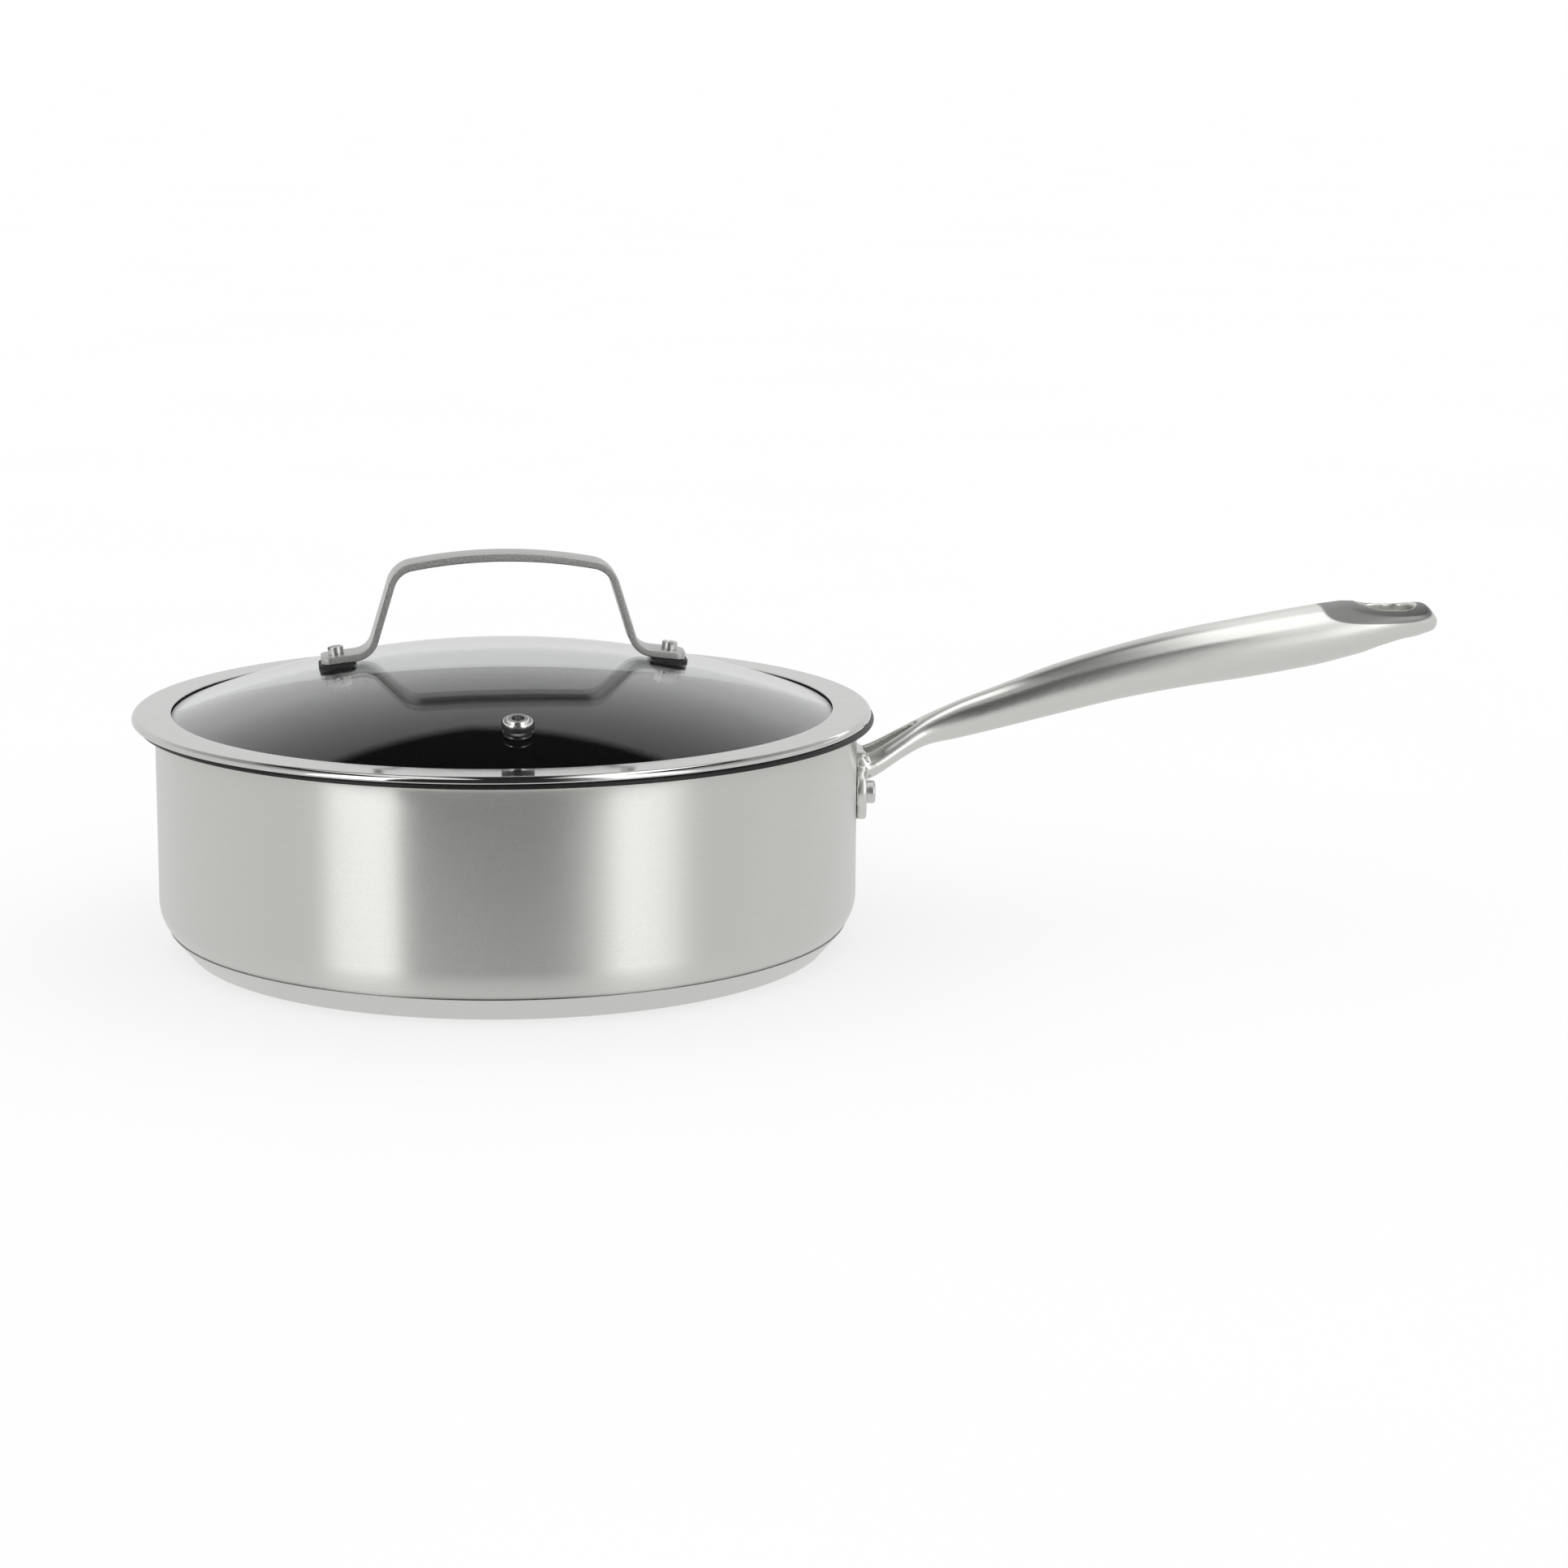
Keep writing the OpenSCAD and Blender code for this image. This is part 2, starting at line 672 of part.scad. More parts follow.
module lid_handle() {
    color(steel_colour) at_lid() difference() {
        intersection() {
            rotate([90, 0, 0]) linear_extrude(strap_w, center = true) strap_outline();
            translate([0, 0, dome_z - dome_rise]) linear_extrude(dome_rise + strap_rise + overrun)
                rounded_rectangle([2 * foot_x, strap_w], foot_corner_r);
        }
        for (side = [-1, 1])
            at_foot(side) cylinder(d = strap_hole_d, h = pad_t + strap_t + overrun);
    }
}

module lid_screw(side, slot_turn) {
    head_z = pad_t + strap_t + fit_gap;
    color(bright_colour) at_lid() at_foot(side) difference() {
        rotate_extrude($fn = 64) {
            translate([0, head_z]) rounded_disc(screw_head_d / 2, screw_head_h, screw_head_h * 0.12);
            translate([0, shank_end_z]) square([screw_d / 2, head_z - shank_end_z + screw_head_h / 2]);
        }
        rotate(slot_turn)
            translate([-screw_head_d, -screw_slot_w / 2, head_z + screw_head_h - screw_slot_deep])
                cube([2 * screw_head_d, screw_slot_w, screw_head_h]);
    }
}

module screw_left() { lid_screw(-1, 35); }
module screw_right() { lid_screw(1, 100); }

// A wedge: its top lies under the sloping foot and its bottom on the glass
module upper_pad(side) {
    color(black_colour) at_lid() difference() {
        at_foot(side) difference() {
            translate([0, 0, -pad_t])
                linear_extrude(2 * pad_t - fit_gap) rounded_rectangle([pad_len, strap_w], foot_corner_r);
            translate([0, 0, -pad_t - overrun])
                cylinder(d = strap_hole_d, h = 2 * (pad_t + overrun));
        }
        at_glass(side) translate([-strap_w, -strap_w, fit_gap - strap_w])
            cube([2 * strap_w, 2 * strap_w, strap_w]);
    }
}

module upper_pad_left() { upper_pad(-1); }
module upper_pad_right() { upper_pad(1); }

module soft_washer(side) {
    color(black_colour) at_lid() difference() {
        at_foot(side) translate([0, 0, soft_washer_z])
            washer(soft_washer_d, strap_hole_d, 2 * soft_washer_t);
        at_glass(side) translate([-soft_washer_d, -soft_washer_d, -glass_t - fit_gap - soft_washer_sag])
            cube([2 * soft_washer_d, 2 * soft_washer_d, glass_t]);
    }
}

module soft_washer_left() { soft_washer(-1); }
module soft_washer_right() { soft_washer(1); }

module steel_washer(side) {
    color(steel_colour) at_lid() at_foot(side) translate([0, 0, steel_washer_z - fit_gap])
        washer(washer_d, strap_hole_d, washer_t);
}

module steel_washer_left() { steel_washer(-1); }
module steel_washer_right() { steel_washer(1); }

module cap_nut(side) {
    color(bright_colour) at_lid() at_foot(side) translate([0, 0, nut_z - 2 * fit_gap]) difference() {
        union() {
            cylinder(d = nut_w / cos(30), h = nut_h, $fn = 6);
            rotate_extrude($fn = 64) intersection() {
                circle(cap_r);
                translate([0, -cap_r]) square(cap_r + nut_h / 2);
            }
        }
        cylinder(d = strap_hole_d, h = nut_h + overrun);
    }
}

module cap_nut_left() { cap_nut(-1); }
module cap_nut_right() { cap_nut(1); }

pan_body();
base_core();
base_cap();
long_handle();
handle_rivet_front();
handle_rivet_rear();
lid_rim();
rim_gasket();
lid_glass();
vent_eyelet();
vent_seal();
vent_backing();
lid_handle();
screw_left();
screw_right();
upper_pad_left();
upper_pad_right();
soft_washer_left();
soft_washer_right();
steel_washer_left();
steel_washer_right();
cap_nut_left();
cap_nut_right();
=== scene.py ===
# Finish, fine surfaces and studio for the saute pan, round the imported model.
# Metres in the model's own frame: the base's centre on the hob is the origin, +Z is up, and +X runs along
# the handle.
import math

import bmesh
import bpy
from mathutils import Matrix, Vector


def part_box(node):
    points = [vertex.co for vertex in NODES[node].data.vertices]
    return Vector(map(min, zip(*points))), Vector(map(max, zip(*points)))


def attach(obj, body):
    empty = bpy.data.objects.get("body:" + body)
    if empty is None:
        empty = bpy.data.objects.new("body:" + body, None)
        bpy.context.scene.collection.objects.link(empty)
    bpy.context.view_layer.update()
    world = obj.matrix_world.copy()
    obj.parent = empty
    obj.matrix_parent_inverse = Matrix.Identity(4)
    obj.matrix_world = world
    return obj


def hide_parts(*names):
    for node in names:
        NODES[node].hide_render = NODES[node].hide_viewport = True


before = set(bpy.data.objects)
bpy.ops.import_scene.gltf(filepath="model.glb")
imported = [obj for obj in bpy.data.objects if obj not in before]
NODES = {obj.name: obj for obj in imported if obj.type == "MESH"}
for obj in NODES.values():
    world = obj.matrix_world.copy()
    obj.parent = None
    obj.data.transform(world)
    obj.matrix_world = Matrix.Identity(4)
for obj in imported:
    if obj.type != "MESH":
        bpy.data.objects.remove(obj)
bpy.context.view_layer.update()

MM = 0.001

# Pan shell and capsule base
WALL_T = 1.0 * MM
LIP_REACH = 5.8 * MM
LIP_R = 3.0 * MM
LIP_TURN_R = 1.4 * MM
CORNER_R = 14.0 * MM
CAP_T = 0.5 * MM
CAP_EDGE_R = 1.2 * MM
CAP_SEAM_BEVEL = 0.12 * MM
BASE_LEAN = math.radians(41.0)
FIT_GAP = 0.05 * MM

# Handle flange, fork and grip
FLANGE_W = 38.0 * MM
FLANGE_H = 20.2 * MM
FLANGE_T = 3.6 * MM
RIVET_DROP = 28.7 * MM
ROOT_RISE = 6.7 * MM
GRIP_RISE = 53.9 * MM
GRIP_DEPTH = 21.0 * MM
GRIP_W = 27.0 * MM
SLOT_W = 13.0 * MM
SLOT_END_W = 4.6 * MM
SLOT_LEN = 23.0 * MM
HANG_LEN = 21.0 * MM
HANG_W = 17.0 * MM
HANG_EDGE = 7.2 * MM
CROWN_RISE = 55.5 * MM
CROWN_FALL = math.radians(2.0)
CROWN_R = 24.0 * MM
TOWER_DEPTH_SHARE = 0.33
TOWER_WIDTH_SHARE = 0.96
TOWER_CORNER_SHARE = 0.16

# Painted dark reflection on the top of the handle's tip, where the steel is also rougher, and the bright
# edge round its hole, which the painted dark leaves out
PAINTED_DARK_FROM_TIP = 22.0 * MM
PAINTED_DARK_REACH_X = 20.3 * MM
PAINTED_DARK_REACH_Z = 5.4 * MM
PAINTED_DARK_FULL = 0.85
PAINTED_DARK_GONE = 1.1
# Colour of the painted dark reflection on the tip's top
PAINTED_DARK_COLOUR = (0.24, 0.24, 0.236)
TIP_TOP_ADDED_ROUGHNESS = 0.15
HOLE_EDGE_W = 0.5 * MM
HOLE_EDGE_END = 0.9 * MM

# Lid
LID_SHIFT = 1.5 * MM
LID_PLAY = 1.9 * MM
GLASS_T = 4.0 * MM
DOME_RISE = 21.8 * MM
BAND_W = 13.4 * MM
RIM_EDGE_T = 2.3 * MM
RIM_T = 0.6 * MM
LEDGE_W = 4.6 * MM
GASKET_T = 0.7 * MM
RIM_LIP_SHARE = 0.3
RIM_LOW_CORNER_SHARE = 0.2

# Lid handle
SCREW_GAP = 114.0 * MM
STRAP_W = 15.0 * MM
STRAP_T = 2.5 * MM
CREST_HALF = 31.5 * MM
CREST_R = 170.0 * MM
BEND_R = 9.0 * MM
HEEL_R = 8.0 * MM
LEG_LEAN = math.radians(17.0)
FOOT_TILT = math.radians(7.0)
FOOT_END = 5.6 * MM
FOOT_CORNER_R = STRAP_W * 0.2
PAD_T = 1.5 * MM

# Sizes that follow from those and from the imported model
PAN_LOW, PAN_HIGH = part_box("pan_body")
BASE_T = PAN_LOW.z
PAN_HEIGHT = PAN_HIGH.z
LIP_EDGE_R = PAN_HIGH.x
WALL_R = LIP_EDGE_R - LIP_REACH
SEAM_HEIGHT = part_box("base_cap")[1].z
CORNER_X = WALL_R - CORNER_R
CORNER_Z = BASE_T + CORNER_R
LIP_Z = PAN_HEIGHT - WALL_T - LIP_R
CONE_TOP_X = (CORNER_X + math.sqrt((CORNER_R + FIT_GAP) ** 2 - (CORNER_Z - SEAM_HEIGHT) ** 2)
              + CAP_T / math.cos(BASE_LEAN) + FIT_GAP)
CONE_FOOT_X = CONE_TOP_X - SEAM_HEIGHT * math.tan(BASE_LEAN)
BASE_R = CONE_FOOT_X - CAP_EDGE_R / math.tan(math.pi / 4 + BASE_LEAN / 2)

RIVET_Z = PAN_HEIGHT - RIVET_DROP
ROOT_X = WALL_R + FLANGE_T / 2
ROOT_Z = RIVET_Z + ROOT_RISE
TIP_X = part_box("long_handle")[1].x - FIT_GAP
GRIP_LEN = TIP_X - ROOT_X
SLOT_END_X = WALL_R + SLOT_LEN - SLOT_END_W / 2
HANG_X = TIP_X - HANG_EDGE - HANG_LEN / 2
TOWER_TOP_Z = ROOT_Z + GRIP_DEPTH * TOWER_DEPTH_SHARE
TOWER_W = GRIP_W * TOWER_WIDTH_SHARE
TOWER_R = TOWER_W * TOWER_CORNER_SHARE

RIM_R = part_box("lid_rim")[1].x + LID_SHIFT - FIT_GAP
RIM_IN_R = RIM_R + FIT_GAP - BAND_W
RIM_OUT_R = WALL_R - WALL_T - LID_PLAY
CHANNEL_R = RIM_OUT_R - RIM_T
GLASS_R = CHANNEL_R - GASKET_T - 2 * FIT_GAP
DOME_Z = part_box("lid_glass")[1].z
DOME_R = (GLASS_R ** 2 + DOME_RISE ** 2) / DOME_RISE / 2
DOME_CENTRE_Z = DOME_Z - DOME_R
LEDGE_IN_R = GLASS_R - LEDGE_W
STRAP_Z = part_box("lid_handle")[1].z - STRAP_T / 2
SCREW_X = SCREW_GAP / 2
FOOT_X = SCREW_X + FOOT_END

# Shares of the length, the climb, the depth and the width along the casting
CASTING_SHARES = [
    (0.000, 0.014, 0.495, 1.000),
    (0.027, 0.052, 0.490, 0.930),
    (0.075, 0.157, 0.452, 0.720),
    (0.116, 0.236, 0.486, 0.540),
    (0.171, 0.304, 0.618, 0.500),
    (0.228, 0.368, 0.696, 0.560),
    (0.338, 0.493, 0.827, 0.700),
    (0.448, 0.602, 0.891, 0.830),
    (0.563, 0.691, 0.956, 0.930),
    (0.673, 0.757, 0.999, 0.985),
    (0.787, 0.829, 0.996, 1.000),
    (0.845, 0.870, 0.933, 0.985),
    (0.902, 0.913, 0.856, 0.950),
    (0.955, 0.954, 0.763, 0.870),
    (0.983, 0.935, 0.487, 0.740),
    (0.995, 0.919, 0.318, 0.590),
    (1.000, 0.922, 0.185, 0.450),
]
SECTION_SQUARE_SHARE = 0.86

# Fineness of the meshes
TURNED_SEGMENTS = 360
FLANGE_SEGMENTS = 720
ON_AXIS = 1e-7
CAST_VOXEL = 0.45 * MM
TUMBLE_FACTOR = 0.5
TUMBLE_ROUNDS = 16


def dome_at(r):
    """Height of the glass's outer face at a distance from the lid's centre."""
    return DOME_CENTRE_Z + math.sqrt(DOME_R ** 2 - r * r)


def bowl_at(r):
    """Height of the glass's inner face."""
    return DOME_CENTRE_Z + math.sqrt((DOME_R - GLASS_T) ** 2 - r * r)


# Node helpers

def new_material(name):
    mat = bpy.data.materials.new(name)
    mat.use_nodes = True
    tree = mat.node_tree
    return mat, tree, tree.nodes["Principled BSDF"]


def add(tree, kind, inputs=None, **settings):
    """A node with its settings, whose inputs are values or other nodes' outputs."""
    node = tree.nodes.new(kind)
    for key, value in settings.items():
        setattr(node, key, value)
    for key, value in (inputs or {}).items():
        if isinstance(value, bpy.types.NodeSocket):
            tree.links.new(value, node.inputs[key])
        else:
            node.inputs[key].default_value = value
    return node


def maths(tree, operation, *values):
    """What a Math node makes of values or other nodes' outputs."""
    return add(tree, "ShaderNodeMath", dict(enumerate(values)), operation=operation).outputs[0]


def streaks(tree, scale, detail=3.0):
    """Noise drawn out into streaks: scale is the number of features a metre along X, Y and Z."""
    coord = add(tree, "ShaderNodeTexCoord")
    mapping = add(tree, "ShaderNodeMapping", {"Vector": coord.outputs["Object"], "Scale": scale})
    noise = add(tree, "ShaderNodeTexNoise", {"Vector": mapping.outputs["Vector"], "Scale": 1.0,
                                             "Detail": detail, "Roughness": 0.6})
    return noise.outputs["Fac"]


def spread(tree, factor, low, high):
    """Stretches a noise's middle over low to high."""
    return add(tree, "ShaderNodeMapRange", {"Value": factor, "From Min": 0.3, "From Max": 0.7,
                                            "To Min": low, "To Max": high}).outputs["Result"]


def tint(tree, factor, dark, light):
    """A colour between two, by a factor."""
    mix = add(tree, "ShaderNodeMix", {"Factor": factor, 6: (*dark, 1), 7: (*light, 1)}, data_type="RGBA")
    return mix.outputs[2]


def bump(tree, height, distance):
    return add(tree, "ShaderNodeBump", {"Height": height, "Distance": distance,
                                        "Strength": 1.0}).outputs["Normal"]


def swayed_normal(tree, factor, sway):
    """Scratches that run level: a normal that leans up and down with a field of streaks."""
    normal = add(tree, "ShaderNodeNewGeometry").outputs["Normal"]
    lean = add(tree, "ShaderNodeCombineXYZ", {"Z": spread(tree, factor, -sway, sway)})
    leant = add(tree, "ShaderNodeVectorMath", {0: normal, 1: lean.outputs["Vector"]}, operation="ADD")
    unit = add(tree, "ShaderNodeVectorMath", {0: leant.outputs["Vector"]}, operation="NORMALIZE")
    return unit.outputs["Vector"]


def metal(name, dark, light, roughness, scale, grain=0.004 * MM, anisotropy=0.0):
    """A metal whose colour, roughness and bump follow one field of streaks. Grain 0 makes no bump."""
    mat, tree, bsdf = new_material(name)
    field = streaks(tree, scale)
    tree.links.new(tint(tree, spread(tree, field, 0.0, 1.0), dark, light), bsdf.inputs["Base Color"])
    tree.links.new(spread(tree, field, *roughness), bsdf.inputs["Roughness"])
    if grain:
        tree.links.new(bump(tree, field, grain), bsdf.inputs["Normal"])
    bsdf.inputs["Metallic"].default_value = 1.0
    bsdf.inputs["Anisotropic"].default_value = anisotropy
    return mat, tree, bsdf


def wall_steel():
    """Steel brushed round the pan, which draws every reflection out up and down."""
    mat, tree, bsdf = metal("brushed_wall", (0.7, 0.703, 0.675), (0.73, 0.733, 0.705), (0.34, 0.37),
                            (60, 60, 1500), grain=0, anisotropy=1.0)
    bsdf.inputs["Anisotropic Rotation"].default_value = 0.25
    tangent = add(tree, "ShaderNodeTangent", direction_type="RADIAL", axis="Z")
    tree.links.new(tangent.outputs["Tangent"], bsdf.inputs["Tangent"])
    scratches = streaks(tree, (6000, 6000, 30000), detail=1.0)
    tree.links.new(swayed_normal(tree, scratches, sway=0.25), bsdf.inputs["Normal"])
    return mat


def cast_steel():
    """Tumbled steel, bright but for a painted dark reflection, with more roughness, on the top of the tip;
    the hole there keeps a bright edge, left unpainted.
    """
    mat, tree, bsdf = metal("tumbled_casting", (0.67, 0.672, 0.645), (0.7, 0.702, 0.675), (0.278, 0.3),
                            (120, 2000, 2000), grain=0.0005 * MM)
    coord = add(tree, "ShaderNodeTexCoord")
    at = add(tree, "ShaderNodeSeparateXYZ", {"Vector": coord.outputs["Object"]}).outputs

    def power(socket, centre, reach):
        """Cube of the distance from a centre along one axis, as a share of the reach."""
        away = maths(tree, "SUBTRACT", socket, centre)
        return maths(tree, "POWER", maths(tree, "ABSOLUTE", maths(tree, "DIVIDE", away, reach)), 3.0)

    # Mask of the painted dark reflection: full over the tip's top, fading out along X and down Z
    along = power(at["X"], TIP_X - PAINTED_DARK_FROM_TIP, PAINTED_DARK_REACH_X)
    down = power(at["Z"], ROOT_Z + CROWN_RISE, PAINTED_DARK_REACH_Z)
    painted_dark_area = add(tree, "ShaderNodeMapRange", {"Value": maths(tree, "ADD", along, down),
                                             "From Min": PAINTED_DARK_FULL, "From Max": PAINTED_DARK_GONE,
                                             "To Min": 1.0, "To Max": 0.0},
                interpolation_type="SMOOTHSTEP")
    from_hole = maths(tree, "ABSOLUTE", maths(tree, "SUBTRACT", at["X"], HANG_X))
    past = maths(tree, "MAXIMUM", maths(tree, "SUBTRACT", from_hole, (HANG_LEN - HANG_W) / 2), 0.0)
    place = add(tree, "ShaderNodeCombineXYZ", {"X": past, "Y": at["Y"]})
    off = add(tree, "ShaderNodeVectorMath", {0: place.outputs["Vector"]}, operation="LENGTH")
    edge = add(tree, "ShaderNodeMapRange", {"Value": off.outputs["Value"],
                                            "From Min": HANG_W / 2 + HOLE_EDGE_W,
                                            "From Max": HANG_W / 2 + HOLE_EDGE_END})
    # Share of the painted dark reflection, left off a narrow bright edge round the hole
    share = maths(tree, "MULTIPLY", painted_dark_area.outputs["Result"], edge.outputs["Result"])
    # Paints the dark reflection's colour over the plain steel, and adds roughness in the same place
    plain = bsdf.inputs["Base Color"].links[0].from_socket
    colour = add(tree, "ShaderNodeMix", {"Factor": share, 6: plain, 7: (*PAINTED_DARK_COLOUR, 1)},
                 data_type="RGBA")
    tree.links.new(colour.outputs[2], bsdf.inputs["Base Color"])
    rough = bsdf.inputs["Roughness"].links[0].from_socket
    satin = maths(tree, "MULTIPLY_ADD", share, TIP_TOP_ADDED_ROUGHNESS, rough)
    tree.links.new(satin, bsdf.inputs["Roughness"])
    return mat


def nonstick():
    mat, tree, bsdf = new_material("nonstick_coating")
    field = streaks(tree, (1500, 1500, 1500), detail=2.0)
    tree.links.new(tint(tree, spread(tree, field, 0.0, 1.0), (0.006, 0.006, 0.0065), (0.02, 0.02, 0.021)),
                   bsdf.inputs["Base Color"])
    tree.links.new(spread(tree, field, 0.32, 0.42), bsdf.inputs["Roughness"])
    bsdf.inputs["Specular IOR Level"].default_value = 0.25
    tree.links.new(bump(tree, field, distance=0.01 * MM), bsdf.inputs["Normal"])
    return mat


def silicone():
    mat, tree, bsdf = new_material("black_silicone")
    field = streaks(tree, (900, 900, 900), detail=2.0)
    tree.links.new(tint(tree, spread(tree, field, 0.0, 1.0), (0.012, 0.012, 0.013), (0.022, 0.022, 0.023)),
                   bsdf.inputs["Base Color"])
    tree.links.new(spread(tree, field, 0.5, 0.62), bsdf.inputs["Roughness"])
    return mat


def clear_glass():
    mat, tree, bsdf = new_material("clear_glass")
    field = streaks(tree, (25, 25, 25), detail=1.0)
    tree.links.new(tint(tree, spread(tree, field, 0.0, 1.0), (0.94, 0.965, 0.955), (0.955, 0.975, 0.965)),
                   bsdf.inputs["Base Color"])
    bsdf.inputs["Roughness"].default_value = 0.0
    bsdf.inputs["IOR"].default_value = 1.5
    bsdf.inputs["Transmission Weight"].default_value = 1.0
    return mat


WALL_STEEL = wall_steel()
BASE_STEEL = metal("brushed_base", (0.64, 0.643, 0.62), (0.69, 0.693, 0.67), (0.28, 0.34),
                   (700, 700, 2600))[0]
POLISHED_STEEL = metal("polished_rim", (0.6, 0.6, 0.59), (0.64, 0.64, 0.63), (0.06, 0.1),
                       (300, 300, 900), grain=0.001 * MM)[0]
CAST_STEEL = cast_steel()
STRAP_STEEL = metal("satin_strap", (0.48, 0.48, 0.47), (0.58, 0.58, 0.57), (0.3, 0.38),
                    (250, 1800, 1800))[0]
SHEARED_STEEL = metal("sheared_strap_side", (0.42, 0.42, 0.412), (0.72, 0.72, 0.7), (0.42, 0.6),
                      (1600, 1600, 1600), grain=0.03 * MM)[0]
TURNED_STEEL = metal("turned_fastener", (0.6, 0.6, 0.585), (0.72, 0.72, 0.705), (0.28, 0.36),
                     (1500, 1500, 1500))[0]
EYELET_STEEL = metal("bright_eyelet", (0.86, 0.86, 0.845), (0.94, 0.94, 0.925), (0.16, 0.22),
                     (1500, 1500, 1500), grain=0.001 * MM)[0]
ALUMINIUM = metal("plain_aluminium", (0.7, 0.71, 0.72), (0.78, 0.79, 0.8), (0.35, 0.45),
                  (900, 900, 900))[0]
NONSTICK = nonstick()
SILICONE = silicone()
CLEAR_GLASS = clear_glass()


# Mesh helpers

def arc(centre, radius, start, end, steps):
    """Points on an arc in the (radius, height) plane, angles in degrees."""
    turns = [math.radians(start + (end - start) * i / steps) for i in range(steps + 1)]
    return [(centre[0] + radius * math.cos(a), centre[1] + radius * math.sin(a)) for a in turns]


def held(outline, hold=0.2 * MM, closed=True):
    """The outline with points close to both ends of each long straight stretch, so that it shades flat."""
    result = []
    last = len(outline) if closed else len(outline) - 1
    for i in range(last):
        a, b = Vector(outline[i]), Vector(outline[(i + 1) % len(outline)])
        result.append(tuple(a))
        length = (b - a).length
        if length > 4 * hold:
            result.append(tuple(a.lerp(b, hold / length)))
            result.append(tuple(a.lerp(b, 1 - hold / length)))
    if not closed:
        result.append(tuple(outline[-1]))
    return result


def mesh_object(name, bm):
    mesh = bpy.data.meshes.new(name)
    bm.to_mesh(mesh)
    bm.free()
    obj = bpy.data.objects.new(name, mesh)
    bpy.context.scene.collection.objects.link(obj)
    return obj


def add_piece(name, bm, materials, body, nodes, smooth_angle=50):
    """Puts a piece of the dressed part on its body and in place of the named CAD nodes."""
    bm.normal_update()
    obj = mesh_object(name, bm)
    for material in materials:
        obj.data.materials.append(material)
    obj.data.shade_smooth()
    obj.data.set_sharp_from_angle(angle=math.radians(smooth_angle))
    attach(obj, body)
    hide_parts(*nodes)


def turned_mesh(outline, centre_x=0.0, segments=TURNED_SEGMENTS, material_of=None):
    """Turns a closed outline of (radius, height) about the upright line through centre_x."""
    bm = bmesh.new()
    rings = []
    for r, z in outline:
        if r < ON_AXIS:
            rings.append([bm.verts.new((centre_x, 0, z))])
            continue
        rings.append([bm.verts.new((centre_x + r * math.cos(2 * math.pi * k / segments),
                                    r * math.sin(2 * math.pi * k / segments), z))
                      for k in range(segments)])
    for i in range(len(rings)):
        a, b = rings[i], rings[(i + 1) % len(rings)]
        if len(a) == 1 and len(b) == 1:
            continue
        index = material_of(outline[i], outline[(i + 1) % len(outline)]) if material_of else 0
        for k in range(segments):
            j = (k + 1) % segments
            corners = [a[k % len(a)], b[k % len(b)], b[j % len(b)], a[j % len(a)]]
            face = bm.faces.new(list(dict.fromkeys(corners)))
            face.material_index = index
    bmesh.ops.recalc_face_normals(bm, faces=bm.faces)
    return bm


# Pan

def shell_outline():
    turn = (LIP_EDGE_R - LIP_TURN_R, PAN_HEIGHT - LIP_TURN_R)
    sheet = WALL_T / 2
    outside = (
        [(0, BASE_T)]
        + arc((CORNER_X, CORNER_Z), CORNER_R, -90, 0, 24)
        + arc((WALL_R + LIP_R, LIP_Z), LIP_R, 180, 90, 16)
        + arc(turn, LIP_TURN_R - WALL_T, 90, 0, 4)
        + arc((LIP_EDGE_R - sheet, turn[1]), sheet, -180, 0, 12)[1:]
        + arc(turn, LIP_TURN_R, 0, 90, 12)[1:]
    )
    inside = (
        arc((WALL_R + LIP_R, LIP_Z), LIP_R + WALL_T, 90, 180, 16)
        + arc((CORNER_X, CORNER_Z), CORNER_R - WALL_T, 0, -90, 24)
        + [(0, BASE_T + WALL_T)]
    )
    return held(outside + inside)


def black_faced(a, b):
    """1 where a stretch of the shell's outline is black: the nonstick coating inside the pan, and over the
    top of its lip down its rolled edge, which shows as a black band under the lid's rim.
    """
    r, z = (a[0] + b[0]) / 2, (a[1] + b[1]) / 2
    over_lip = z > LIP_Z and math.hypot(r - WALL_R - LIP_R, z - LIP_Z) > LIP_R + WALL_T / 2
    within = r < WALL_R - WALL_T / 2 and z > BASE_T + WALL_T / 2 and not on_corner_outside(r, z)
    return int(over_lip or (z <= LIP_Z and within))


def on_corner_outside(r, z):
    if r < CORNER_X or z > CORNER_Z:
        return False
    return math.hypot(r - CORNER_X, z - CORNER_Z) > CORNER_R - WALL_T / 2


def make_pan_body():
    bm = turned_mesh(shell_outline(), material_of=black_faced)
    add_piece("pan_shell", bm, [WALL_STEEL, NONSTICK], "pan", ["pan_body"])


def make_base_cap():
    """The capsule's sheet: a flat bottom, a round lower edge and a side that leans out to the seam."""
    centre = (BASE_R, CAP_EDGE_R)
    lean = math.degrees(BASE_LEAN)
    seam_x = CONE_TOP_X - CAP_SEAM_BEVEL
    cone_x = CONE_TOP_X - CAP_SEAM_BEVEL * math.tan(BASE_LEAN)
    inner_top_x = CONE_TOP_X - CAP_T / math.cos(BASE_LEAN)
    outline = (
        [(0, 0)]
        + arc(centre, CAP_EDGE_R, -90, -lean, 10)
        + [(cone_x, SEAM_HEIGHT - CAP_SEAM_BEVEL), (seam_x, SEAM_HEIGHT), (inner_top_x, SEAM_HEIGHT)]
        + arc(centre, CAP_EDGE_R - CAP_T, -lean, -90, 10)
        + [(0, CAP_T)]
    )
    bm = turned_mesh(held(outline, hold=0.1 * MM))
    add_piece("base_capsule", bm, [BASE_STEEL], "pan", ["base_cap"])


# Long handle

